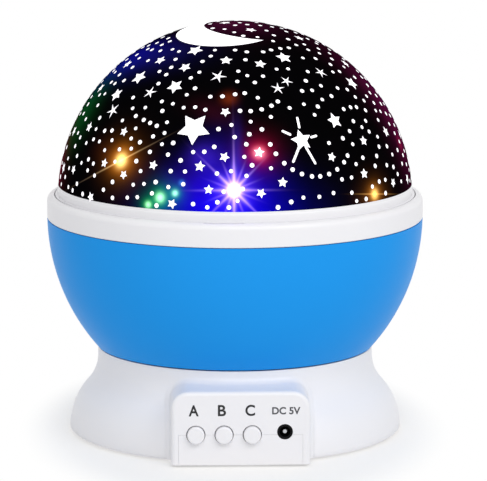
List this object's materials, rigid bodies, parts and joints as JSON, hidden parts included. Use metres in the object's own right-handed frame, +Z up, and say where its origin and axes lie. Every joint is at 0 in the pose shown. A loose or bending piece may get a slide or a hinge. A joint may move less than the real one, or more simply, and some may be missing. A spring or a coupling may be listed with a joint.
{
  "type": "star night light projector",
  "caption": "Round night light: a star-printed dome lifts off a blue bowl that a geared motor turns on a flared base with push buttons and a power inlet.",
  "frame": {"origin": "middle of the footprint on the table, on the axis that the bowl turns on", "axes": "+Z up along the turning axis, the console with its buttons faces -Y, +X to the right of someone facing it"},
  "size_m": [0.13, 0.13, 0.1425],
  "materials": {
    "printed_dome": "black print with clear stars on a gloss dome",
    "white_plastic": "white satin gloss",
    "blue_plastic": "sky blue gloss",
    "ivory_nylon": "natural nylon",
    "steel": "plated",
    "brass": "turned",
    "white_board": "white solder mask",
    "led_warm": "clear epoxy, warm white",
    "led_red": "clear epoxy, red",
    "led_green": "clear epoxy, green",
    "led_blue": "clear epoxy, blue",
    "black_cable": "satin",
    "grey_rubber": "matt",
    "battery_case": "printed sleeve",
    "red_wire": "satin",
    "blue_wire": "satin",
    "green_board": "green solder mask",
    "black_plastic": "satin",
    "pale_plastic": "satin"
  },
  "bodies": {
    "base": {"thrust_washer": "ivory_nylon", "hub_cap": "ivory_nylon", "hub_screws": "steel", "lamp_post": "white_plastic", "post_screws": "steel", "led_board": "white_board", "led_warm": "led_warm", "led_red": "led_red", "led_green": "led_green", "led_blue": "led_blue", "lamp_cable": "black_cable", "base_shell": "white_plastic", "base_bottom": "white_plastic", "case_screws": "steel", "rubber_feet": "grey_rubber", "battery_cell_1": "battery_case", "battery_cell_2": "battery_case", "battery_cell_3": "battery_case", "battery_cell_4": "battery_case", "contact_springs": "steel", "contact_plates": "steel", "battery_wires": "red_wire", "gearbox_frame": "ivory_nylon", "gearbox_cover": "ivory_nylon", "gearbox_screws": "steel", "gear_axles": "steel", "motor": "steel", "shaft_bush": "brass", "motor_wires": "blue_wire", "control_board": "green_board", "board_screws": "steel", "switch_bodies": "black_plastic", "dc_jack": "black_plastic", "jack_pin": "steel"},
    "bowl": {"bowl": "blue_plastic", "rim_band": "white_plastic", "bowl_gear": "ivory_nylon", "gear_screws": "steel", "reflector_plate": "white_plastic", "reflector_screws": "steel"},
    "dome": {"star_dome": "printed_dome", "dome_ring": "white_plastic"},
    "motor_rotor": {"motor_shaft": "steel", "motor_pinion": "brass"},
    "first_gear": {"first_gear": "ivory_nylon"},
    "second_gear": {"second_gear": "ivory_nylon"},
    "drive_train": {"output_gear": "ivory_nylon", "drive_shaft": "steel", "drive_gear": "ivory_nylon"},
    "button_a": {"button_a": "white_plastic", "plunger_a": "pale_plastic"},
    "button_b": {"button_b": "white_plastic", "plunger_b": "pale_plastic"},
    "button_c": {"button_c": "white_plastic", "plunger_c": "pale_plastic"},
    "battery_door": {"battery_door": "white_plastic"}
  },
  "joints": [
    {"name": "bowl_spin", "type": "hinge", "parent": "base", "child": "bowl", "pos_m": [0, 0, 0.036], "axis": [0, 0, 1], "continuous": true},
    {"name": "dome_lift", "type": "slide", "parent": "bowl", "child": "dome", "axis": [0, 0, 1], "range_m": [0, 0.07]},
    {"name": "drive_spin", "type": "hinge", "parent": "base", "child": "drive_train", "pos_m": [0.03027, 0.00755, 0.027], "axis": [0, 0, 1], "continuous": true},
    {"name": "second_gear_spin", "type": "hinge", "parent": "base", "child": "second_gear", "pos_m": [0.03567, -0.00181, 0.023], "axis": [0, 0, 1], "continuous": true},
    {"name": "first_gear_spin", "type": "hinge", "parent": "base", "child": "first_gear", "pos_m": [0.02632, -0.00721, 0.022], "axis": [0, 0, 1], "continuous": true},
    {"name": "motor_spin", "type": "hinge", "parent": "base", "child": "motor_rotor", "pos_m": [0.03459, -0.01415, 0.019], "axis": [0, 0, 1], "continuous": true},
    {"name": "button_a_press", "type": "slide", "parent": "base", "child": "button_a", "axis": [0, 1, 0], "range_m": [0, 0.0008], "stiffness_N_per_m": 500, "springref_m": -0.0006},
    {"name": "button_b_press", "type": "slide", "parent": "base", "child": "button_b", "axis": [0, 1, 0], "range_m": [0, 0.0008], "stiffness_N_per_m": 500, "springref_m": -0.0006},
    {"name": "button_c_press", "type": "slide", "parent": "base", "child": "button_c", "axis": [0, 1, 0], "range_m": [0, 0.0008], "stiffness_N_per_m": 500, "springref_m": -0.0006},
    {"name": "battery_door_swing", "type": "hinge", "parent": "base", "child": "battery_door", "pos_m": [0, -0.02477, 0.0008], "axis": [-1, 0, 0], "range_deg": [0, 80]}
  ],
  "couplings": [
    {"joint": "drive_spin", "follows": "bowl_spin", "ratio": -5},
    {"joint": "second_gear_spin", "follows": "bowl_spin", "ratio": 17.5},
    {"joint": "first_gear_spin", "follows": "bowl_spin", "ratio": -61.25},
    {"joint": "motor_spin", "follows": "bowl_spin", "ratio": 214.38}
  ]
}
